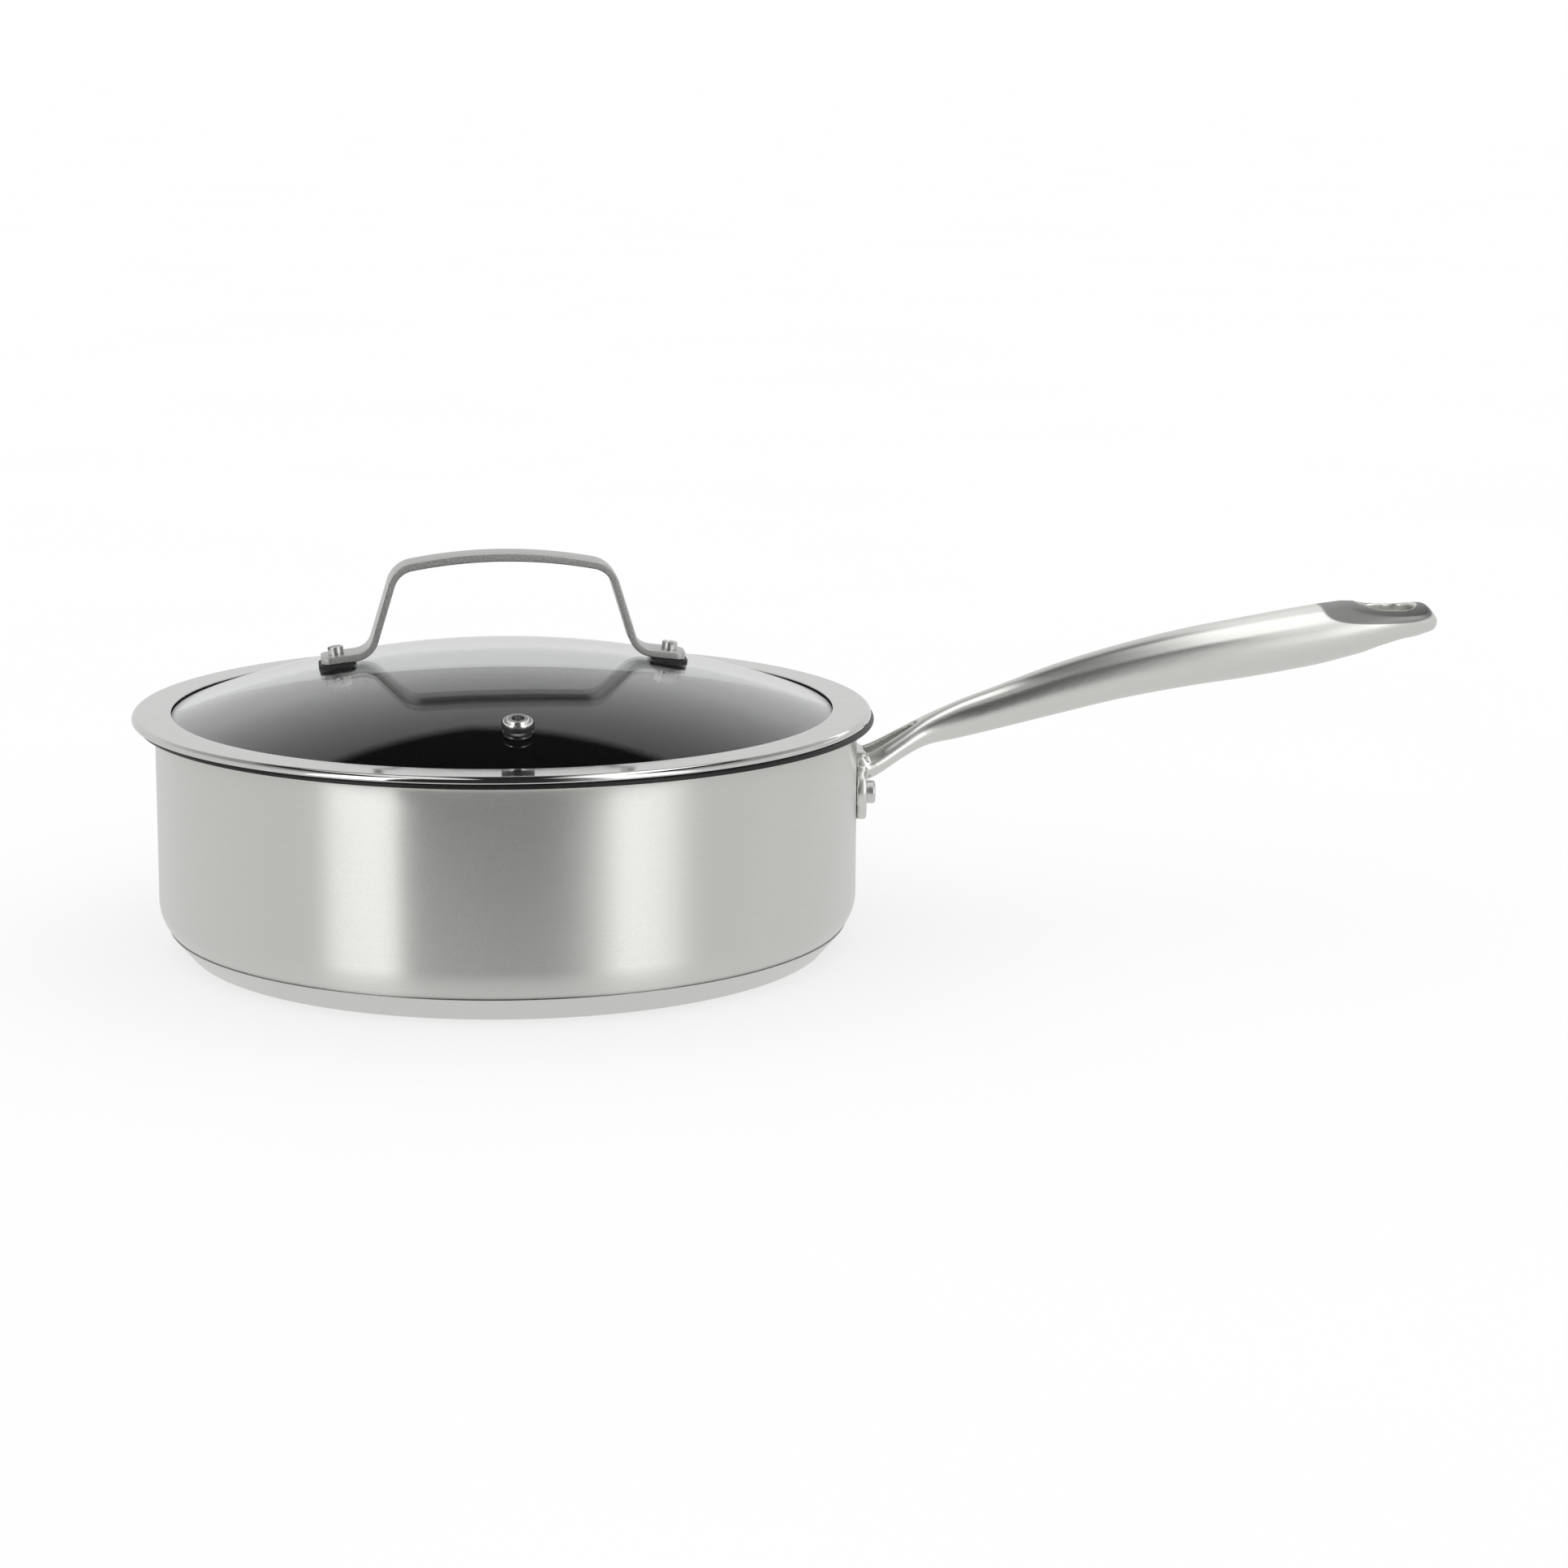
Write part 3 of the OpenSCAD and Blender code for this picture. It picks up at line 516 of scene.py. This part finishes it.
def share_at(u, column):
    """Smooth curve through one column of the casting's table."""
    rows = CASTING_SHARES
    i = max(k for k in range(len(rows) - 1) if rows[k][0] <= u or k == 0)
    h = rows[i + 1][0] - rows[i][0]
    k = (u - rows[i][0]) / h

    def slope(j):
        a, b = max(j - 1, 0), min(j + 1, len(rows) - 1)
        return (rows[b][column] - rows[a][column]) / (rows[b][0] - rows[a][0])

    return ((2 * k ** 3 - 3 * k * k + 1) * rows[i][column]
            + (k ** 3 - 2 * k * k + k) * h * slope(i)
            + (3 * k * k - 2 * k ** 3) * rows[i + 1][column]
            + (k ** 3 - k * k) * h * slope(i + 1))


def power_of(v, share):
    return math.copysign(abs(v) ** share, v)


def add_casting(bm, rings=180, points=72):
    loops = []
    for i in range(rings):
        u = i / (rings - 1)
        x = ROOT_X + GRIP_LEN * u
        z = ROOT_Z + GRIP_RISE * share_at(u, 1)
        half_depth = GRIP_DEPTH * share_at(u, 2) / 2
        half_width = GRIP_W * share_at(u, 3) / 2
        turns = [2 * math.pi * k / points for k in range(points)]
        loops.append([bm.verts.new((x, half_width * power_of(math.cos(a), SECTION_SQUARE_SHARE),
                                    z + half_depth * power_of(math.sin(a), SECTION_SQUARE_SHARE)))
                      for a in turns])
    for a, b in zip(loops, loops[1:]):
        for k in range(points):
            j = (k + 1) % points
            bm.faces.new((a[k], a[j], b[j], b[k]))
    bm.faces.new(list(reversed(loops[0])))
    bm.faces.new(loops[-1])
    bmesh.ops.recalc_face_normals(bm, faces=bm.faces)


def prism(name, outline, low, high, axis):
    """A closed prism: the outline lies across the axis and runs from low to high along it."""
    bm = bmesh.new()
    place = {"X": lambda p, h: (h, p[0], p[1]), "Z": lambda p, h: (p[0], p[1], h)}[axis]
    bottom = [bm.verts.new(place(p, low)) for p in outline]
    top = [bm.verts.new(place(p, high)) for p in outline]
    bm.faces.new(bottom)
    bm.faces.new(top)
    for k in range(len(outline)):
        j = (k + 1) % len(outline)
        bm.faces.new((bottom[k], bottom[j], top[j], top[k]))
    bmesh.ops.recalc_face_normals(bm, faces=bm.faces)
    return mesh_object(name, bm)


def combine(obj, other, operation):
    """Cuts, joins or intersects obj with other, and removes other."""
    modifier = obj.modifiers.new("combine", "BOOLEAN")
    modifier.operation = operation
    modifier.solver = "EXACT"
    modifier.object = other
    apply_modifiers(obj)
    bpy.data.objects.remove(other)


def apply_modifiers(obj):
    bpy.context.view_layer.update()
    graph = bpy.context.evaluated_depsgraph_get()
    mesh = bpy.data.meshes.new_from_object(obj.evaluated_get(graph))
    obj.modifiers.clear()
    obj.data = mesh


def round_ended(length, width, steps=24):
    """Outline of a slot with round ends, along the first axis."""
    straight = (length - width) / 2
    return (arc((straight, 0), width / 2, -90, 90, steps)
            + arc((-straight, 0), width / 2, 90, 270, steps))


def rounded_rectangle(width, height, radius, steps=8):
    x, y = width / 2 - radius, height / 2 - radius
    return (arc((x, -y), radius, -90, 0, steps) + arc((x, y), radius, 0, 90, steps)
            + arc((-x, y), radius, 90, 180, steps) + arc((-x, -y), radius, 180, 270, steps))


def shifted(outline, dx, dy):
    return [(x + dx, y + dy) for x, y in outline]


def flange_piece():
    """The flange with its tower behind the casting's root, curved like the wall that it lies on."""
    inner, outer = WALL_R + FIT_GAP, WALL_R + FIT_GAP + FLANGE_T
    low, high = RIVET_Z - FLANGE_H, TOWER_TOP_Z + FLANGE_H
    ring = mesh_object("flange_ring", turned_mesh(
        [(inner, low), (outer, low), (outer, high), (inner, high)], segments=FLANGE_SEGMENTS))
    near, far = WALL_R - FLANGE_W / 2, WALL_R + FLANGE_W / 2
    plate_face = shifted(round_ended(FLANGE_W, FLANGE_H), 0, RIVET_Z)
    plate = prism("flange_plate", plate_face, near, far, "X")
    tower_face = shifted(rounded_rectangle(TOWER_W, TOWER_TOP_Z - RIVET_Z, TOWER_R),
                         0, (RIVET_Z + TOWER_TOP_Z) / 2)
    tower = prism("flange_tower", tower_face, near, far, "X")
    combine(plate, tower, "UNION")
    combine(ring, plate, "INTERSECT")
    return ring


def fork_outline():
    start = WALL_R + FIT_GAP + FLANGE_T
    return ([(start, SLOT_W / 2), (start, -SLOT_W / 2)]
            + arc((SLOT_END_X, 0), SLOT_END_W / 2, -90, 90, 16))


def tip_top():
    """What stands above the level top of the tip, which is round from side to side."""
    reach = GRIP_LEN * 0.3
    outline = (arc((0, -CROWN_R), CROWN_R, 0, 180, 64)
               + [(-GRIP_W, -CROWN_R), (-GRIP_W, GRIP_DEPTH), (GRIP_W, GRIP_DEPTH), (GRIP_W, -CROWN_R)])
    top = prism("tip_top", outline, -reach, reach, "X")
    top.data.transform(Matrix.Translation((TIP_X, 0, ROOT_Z + CROWN_RISE))
                       @ Matrix.Rotation(CROWN_FALL, 4, "Y"))
    return top


def make_long_handle():
    bm = bmesh.new()
    add_casting(bm)
    casting = mesh_object("casting", bm)
    combine(casting, flange_piece(), "UNION")
    high = ROOT_Z + GRIP_RISE + 2 * GRIP_DEPTH
    combine(casting, prism("fork_cut", fork_outline(), 0, high, "Z"), "DIFFERENCE")
    hole = shifted(round_ended(HANG_LEN, HANG_W), HANG_X, 0)
    combine(casting, prism("hole_cut", hole, ROOT_Z, high, "Z"), "DIFFERENCE")
    combine(casting, tip_top(), "DIFFERENCE")
    remesh = casting.modifiers.new("even", "REMESH")
    remesh.mode = "VOXEL"
    remesh.voxel_size = CAST_VOXEL
    smooth = casting.modifiers.new("tumble", "SMOOTH")
    smooth.factor = TUMBLE_FACTOR
    smooth.iterations = TUMBLE_ROUNDS
    apply_modifiers(casting)
    bm = bmesh.new()
    bm.from_mesh(casting.data)
    bpy.data.objects.remove(casting)
    add_piece("cast_handle", bm, [CAST_STEEL], "pan", ["long_handle"], smooth_angle=180)


# Lid

def rim_outline():
    lip_under = GASKET_T * RIM_LIP_SHARE + 2 * FIT_GAP
    low_r = RIM_EDGE_T * RIM_LOW_CORNER_SHARE
    high_r = RIM_EDGE_T - low_r
    sheet = RIM_T / 2
    top = dome_at(RIM_IN_R) + lip_under
    return held(
        arc((RIM_IN_R + sheet, top + sheet), sheet, 270, 90, 10)
        + arc((RIM_R - high_r, PAN_HEIGHT + low_r), high_r, 90, 0, 20)
        + arc((RIM_R - low_r, PAN_HEIGHT + low_r), low_r, 0, -90, 8)[1:]
        + [
            (RIM_OUT_R, PAN_HEIGHT),
            (RIM_OUT_R, bowl_at(RIM_OUT_R) - GASKET_T - RIM_T),
            (LEDGE_IN_R, bowl_at(LEDGE_IN_R) - GASKET_T - RIM_T),
            (LEDGE_IN_R, bowl_at(LEDGE_IN_R) - GASKET_T),
            (CHANNEL_R, bowl_at(CHANNEL_R) - GASKET_T),
            (CHANNEL_R, dome_at(CHANNEL_R) + lip_under),
        ],
        hold=0.15 * MM)


def make_lid_rim():
    bm = turned_mesh(rim_outline(), centre_x=-LID_SHIFT)
    add_piece("lid_rim_band", bm, [POLISHED_STEEL], "lid", ["lid_rim"], smooth_angle=35)


def dome_arc(radius, reach, steps):
    """From the middle outwards, in even steps."""
    return [(reach * i / steps, DOME_CENTRE_Z + math.sqrt(radius ** 2 - (reach * i / steps) ** 2))
            for i in range(steps + 1)]


def make_lid_glass():
    edge = 0.4 * MM
    reach = GLASS_R - edge
    top = dome_arc(DOME_R, reach, 56)
    under = dome_arc(DOME_R - GLASS_T, reach, 56)
    rim = (arc((reach, top[-1][1] - edge), edge, 90, 0, 5)[1:]
           + arc((reach, under[-1][1] + edge), edge, 0, -90, 5)[:-1])
    bm = turned_mesh(top + rim + under[::-1], centre_x=-LID_SHIFT)
    add_piece("domed_glass", bm, [CLEAR_GLASS], "lid", ["lid_glass"], smooth_angle=60)


def strap_path(foot_steps=16):
    """Middle line of the strap's right half: points (x, z) with the outward direction there."""
    leg_turn = math.pi / 2 - LEG_LEAN
    crest_turn = math.asin(CREST_HALF / CREST_R)
    bend_x = CREST_HALF + BEND_R * (math.sin(leg_turn) - math.sin(crest_turn))
    bend_z = (STRAP_Z - CREST_R * (1 - math.cos(crest_turn))
              - BEND_R * (math.cos(crest_turn) - math.cos(leg_turn)))
    heel_dx = HEEL_R * (math.sin(leg_turn) - math.sin(FOOT_TILT))
    heel_dz = HEEL_R * (math.cos(FOOT_TILT) - math.cos(leg_turn))
    foot_z = dome_at(SCREW_X) + (PAD_T + STRAP_T / 2) / math.cos(FOOT_TILT)
    leg_len = ((bend_z - heel_dz - foot_z - (SCREW_X - bend_x - heel_dx) * math.tan(FOOT_TILT))
               / (math.cos(LEG_LEAN) - math.sin(LEG_LEAN) * math.tan(FOOT_TILT)))
    leg_x = bend_x + leg_len * math.sin(LEG_LEAN)
    leg_z = bend_z - leg_len * math.cos(LEG_LEAN)

    def along(cx, cz, radius, start, end, steps):
        for i in range(steps + 1):
            a = start + (end - start) * i / steps
            yield cx + radius * math.sin(a), cz + radius * math.cos(a), a

    path = list(along(0, STRAP_Z - CREST_R, CREST_R, 0, crest_turn, 24))
    path += list(along(bend_x - BEND_R * math.sin(leg_turn), bend_z - BEND_R * math.cos(leg_turn), BEND_R,
                       crest_turn, leg_turn, 20))[1:]
    heel = (leg_x + HEEL_R * math.sin(leg_turn), leg_z + HEEL_R * math.cos(leg_turn))
    path += list(along(heel[0], heel[1], -HEEL_R, leg_turn, FOOT_TILT, 20))
    x, z, _ = path[-1]
    foot = FOOT_X - x
    path += [(x + foot * k / foot_steps, z - foot * k / foot_steps * math.tan(FOOT_TILT), FOOT_TILT)
             for k in range(1, foot_steps + 1)]
    return path


def strap_half_width(x):
    """Half of the strap's width: its feet's corners are rounded."""
    past = max(0.0, x - (FOOT_X - FOOT_CORNER_R))
    return STRAP_W / 2 - FOOT_CORNER_R + math.sqrt(max(FOOT_CORNER_R ** 2 - past ** 2, 0.0))


def make_lid_handle(edge=0.35 * MM, edge_steps=4):
    right = strap_path()
    path = [(-x, z, -a) for x, z, a in reversed(right[1:])] + right
    bm = bmesh.new()
    rings = []
    least_half = edge * 1.5  # so that a section has room for its own round edges
    for x, z, a in path:
        out = Vector((math.sin(a), 0, math.cos(a)))
        half = max(strap_half_width(abs(x)), least_half)
        section = rounded_rectangle(2 * half, STRAP_T, edge, edge_steps)
        rings.append([bm.verts.new(Vector((x - LID_SHIFT, p, z)) + out * q) for p, q in section])
    count = len(rings[0])
    for a, b in zip(rings, rings[1:]):
        for k in range(count):
            bm.faces.new((a[k], b[k], b[(k + 1) % count], a[(k + 1) % count]))
    bm.faces.new(rings[0])
    bm.faces.new(list(reversed(rings[-1])))
    bmesh.ops.recalc_face_normals(bm, faces=bm.faces)
    bm.normal_update()
    sheared = 0.9  # a face that looks this much along Y is one of the strap's sides
    for face in bm.faces:
        face.material_index = int(abs(face.normal.y) > sheared)
    add_piece("strap_handle", bm, [STRAP_STEEL, SHEARED_STEEL], "lid", ["lid_handle"],
              smooth_angle=60)


make_pan_body()
make_base_cap()
make_long_handle()
make_lid_rim()
make_lid_glass()
make_lid_handle()

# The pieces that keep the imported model's own mesh
FINISHES = {
    "base_core": ALUMINIUM,
    "handle_rivet_front": TURNED_STEEL, "handle_rivet_rear": TURNED_STEEL,
    "rim_gasket": SILICONE,
    "vent_eyelet": EYELET_STEEL, "vent_seal": SILICONE, "vent_backing": TURNED_STEEL,
    "screw_left": TURNED_STEEL, "screw_right": TURNED_STEEL,
    "upper_pad_left": SILICONE, "upper_pad_right": SILICONE,
    "soft_washer_left": SILICONE, "soft_washer_right": SILICONE,
    "steel_washer_left": TURNED_STEEL, "steel_washer_right": TURNED_STEEL,
    "cap_nut_left": TURNED_STEEL, "cap_nut_right": TURNED_STEEL,
}
for name, material in FINISHES.items():
    NODES[name].data.materials.clear()
    NODES[name].data.materials.append(material)


# Studio: a white floor and backdrop, and sheets of light that only mirrors see

# How bright the white floor and backdrop look in a mirror, and how much of the floor's own white shows
MIRROR_LEVEL = 0.8
FLOOR_GLOW_SHARE = 0.6

# What a mirror sees by height: the backdrop fades, and a dark ceiling starts, higher up at the sides
FADE_START = 0.37
FADE_END = 0.68
FADED_LEVEL = 0.38
CEILING_START = 0.643
CEILING_FULL = 0.662
CEILING_RISE_ASIDE = 0.2
CEILING_SHARE = 0.06

GLOSSY_ONLY = ("visible_camera", "visible_diffuse", "visible_transmission", "visible_shadow")

# Two soft boxes with a dark gap between them, where the photographer stood, banks of light overhead, and
# small ones above the handle's neck and beside its tip: name, low corner, high corner, level, and the
# soft left and right edges as shares of the width
CARDS = [
    ("front_gap", (-0.50, -0.66, 0.0), (0.38, -0.66, 1.1), 0.03, 0.001, 0.3),
    ("front_floor", (-0.50, -0.66, 0.001), (0.16, -0.30, 0.001), 0.2, 0.02, 0.2),
    ("box_left", (-1.25, -0.62, 0.0), (-0.445, -0.62, 1.0), 2.4, 0.35, 0.001),
    ("box_right", (0.54, -1.30, 0.0), (2.20, -1.30, 2.4), 2.25, 0.2, 0.6),
    ("bank_left", (-0.45, -0.60, 1.0), (-0.12, 0.50, 1.0), 1.1, 0.06, 0.06),
    ("bank_right", (0.11, -0.60, 1.0), (0.50, 0.60, 1.0), 1.9, 0.45, 0.06),
    ("bank_neck", (0.127, -0.005, 0.12), (0.178, 0.026, 0.12), 1.6, 0.05, 0.35),
    ("bank_tip_back", (0.220, 0.028, 0.16), (0.340, 0.110, 0.16), 1.05, 0.4, 0.05),
    ("bank_tip_front", (0.247, -0.095, 0.16), (0.345, -0.044, 0.16), 1.05, 0.35, 0.05),
]


def make_card(name, low, high, level, left_edge, right_edge):
    """An upright or level sheet of light that only mirrors see, with soft edges."""
    low, high = Vector(low), Vector(high)
    across = Vector((high.x - low.x, 0, 0))
    along = Vector((0, high.y - low.y, high.z - low.z))
    bm = bmesh.new()
    bm.faces.new([bm.verts.new(corner) for corner in (low, low + across, high, low + along)])
    card = mesh_object(name, bm)
    mat, tree, bsdf = new_material(name)
    tree.nodes.remove(bsdf)
    coord = add(tree, "ShaderNodeTexCoord")
    parts = add(tree, "ShaderNodeSeparateXYZ", {"Vector": coord.outputs["Generated"]})
    edges = [add(tree, "ShaderNodeMapRange", {"Value": parts.outputs["X"], "From Min": outermost,
                                              "From Max": full},
                 interpolation_type="SMOOTHSTEP").outputs["Result"]
             for outermost, full in ((0.0, left_edge), (1.0, 1.0 - right_edge))]
    glow = add(tree, "ShaderNodeEmission", {"Color": (1, 1, 1, 1), "Strength": level})
    clear = add(tree, "ShaderNodeBsdfTransparent")
    mix = add(tree, "ShaderNodeMixShader", {0: maths(tree, "MULTIPLY", *edges), 1: clear.outputs[0],
                                            2: glow.outputs[0]})
    tree.links.new(mix.outputs["Shader"], tree.nodes["Material Output"].inputs["Surface"])
    card.data.materials.append(mat)
    for flag in GLOSSY_ONLY:
        setattr(card, flag, False)


def make_floor(side=40.0):
    """White, with the part's shadow; mirrors see it a little darker."""
    bm = bmesh.new()
    corners = [(-side, -side), (side, -side), (side, side), (-side, side)]
    bm.faces.new([bm.verts.new((x, y, 0)) for x, y in corners])
    floor = mesh_object("floor", bm)
    mat, tree, bsdf = new_material("white_floor")
    field = streaks(tree, (3, 3, 3), detail=2.0)
    tree.links.new(tint(tree, spread(tree, field, 0.0, 1.0), (0.985, 0.985, 0.985), (1, 1, 1)),
                   bsdf.inputs["Base Color"])
    bsdf.inputs["Roughness"].default_value = 0.9
    bsdf.inputs["Specular IOR Level"].default_value = 0.0
    path = add(tree, "ShaderNodeLightPath")
    camera_ray, glossy_ray = path.outputs["Is Camera Ray"], path.outputs["Is Glossy Ray"]
    level = maths(tree, "MULTIPLY_ADD", glossy_ray, MIRROR_LEVEL - 1.0, 1.0)
    glow = add(tree, "ShaderNodeEmission", {"Color": (1, 1, 1, 1), "Strength": level})
    share = maths(tree, "MULTIPLY_ADD", camera_ray, FLOOR_GLOW_SHARE, glossy_ray)
    mix = add(tree, "ShaderNodeMixShader", {0: share, 1: bsdf.outputs["BSDF"], 2: glow.outputs["Emission"]})
    tree.links.new(mix.outputs["Shader"], tree.nodes["Material Output"].inputs["Surface"])
    floor.data.materials.append(mat)


def make_world():
    """White all round, but mirrors see the backdrop fade upwards to the edge of a dark ceiling."""
    world = bpy.data.worlds.new("studio")
    bpy.context.scene.world = world
    world.use_nodes = True
    tree = world.node_tree
    background = tree.nodes["Background"]
    background.inputs["Color"].default_value = (1, 1, 1, 1)
    coord = add(tree, "ShaderNodeTexCoord")
    parts = add(tree, "ShaderNodeSeparateXYZ", {"Vector": coord.outputs["Generated"]})
    fade = add(tree, "ShaderNodeMapRange", {"Value": parts.outputs["Z"], "From Min": FADE_START,
                                            "From Max": FADE_END, "To Min": MIRROR_LEVEL,
                                            "To Max": FADED_LEVEL})
    aside = maths(tree, "ABSOLUTE", parts.outputs["X"])
    height = maths(tree, "MULTIPLY_ADD", aside, -CEILING_RISE_ASIDE, parts.outputs["Z"])
    open_sky = add(tree, "ShaderNodeMapRange", {"Value": height, "From Min": CEILING_START,
                                                "From Max": CEILING_FULL, "To Min": 1.0,
                                                "To Max": CEILING_SHARE},
                   interpolation_type="SMOOTHSTEP")
    mirrored = maths(tree, "MULTIPLY", fade.outputs["Result"], open_sky.outputs["Result"])
    path = add(tree, "ShaderNodeLightPath")
    mix = add(tree, "ShaderNodeMix", {0: path.outputs["Is Glossy Ray"], 2: 1.0, 3: mirrored},
              data_type="FLOAT")
    tree.links.new(mix.outputs[0], background.inputs["Strength"])


# Camera: the photograph's frame is 1932 by 1932 pixels, and the camera's axis meets it at row 900
FRAME_PIXELS = 1932
FOCAL_PIXELS = 4500
AXIS_ROW = 900
SENSOR = 36.0  # in millimetres, like the lens
CAMERA_PLACE = Vector((-65.7, -1248.2, 309.9)) * MM
CAMERA_YAW = math.radians(7.403)
CAMERA_PITCH = math.radians(10.704)
CAMERA_ROLL = math.radians(0.346)


def make_camera():
    data = bpy.data.cameras.new("camera")
    data.sensor_width = SENSOR
    data.lens = SENSOR * FOCAL_PIXELS / FRAME_PIXELS
    data.shift_y = (AXIS_ROW - FRAME_PIXELS / 2) / FRAME_PIXELS
    data.clip_start = 0.01
    data.clip_end = 200.0
    camera = bpy.data.objects.new("camera", data)
    bpy.context.scene.collection.objects.link(camera)
    forward = Vector((math.sin(CAMERA_YAW) * math.cos(CAMERA_PITCH),
                      math.cos(CAMERA_YAW) * math.cos(CAMERA_PITCH), -math.sin(CAMERA_PITCH)))
    level = Vector((math.cos(CAMERA_YAW), -math.sin(CAMERA_YAW), 0))
    upright = level.cross(forward)
    right = math.cos(CAMERA_ROLL) * level + math.sin(CAMERA_ROLL) * upright
    up = math.cos(CAMERA_ROLL) * upright - math.sin(CAMERA_ROLL) * level
    turn = Matrix((right, up, -forward)).transposed()
    camera.matrix_world = Matrix.Translation(CAMERA_PLACE) @ turn.to_4x4()
    bpy.context.scene.camera = camera


make_floor()
for card in CARDS:
    make_card(*card)
make_world()
make_camera()

bpy.context.scene.view_settings.view_transform = "Standard"
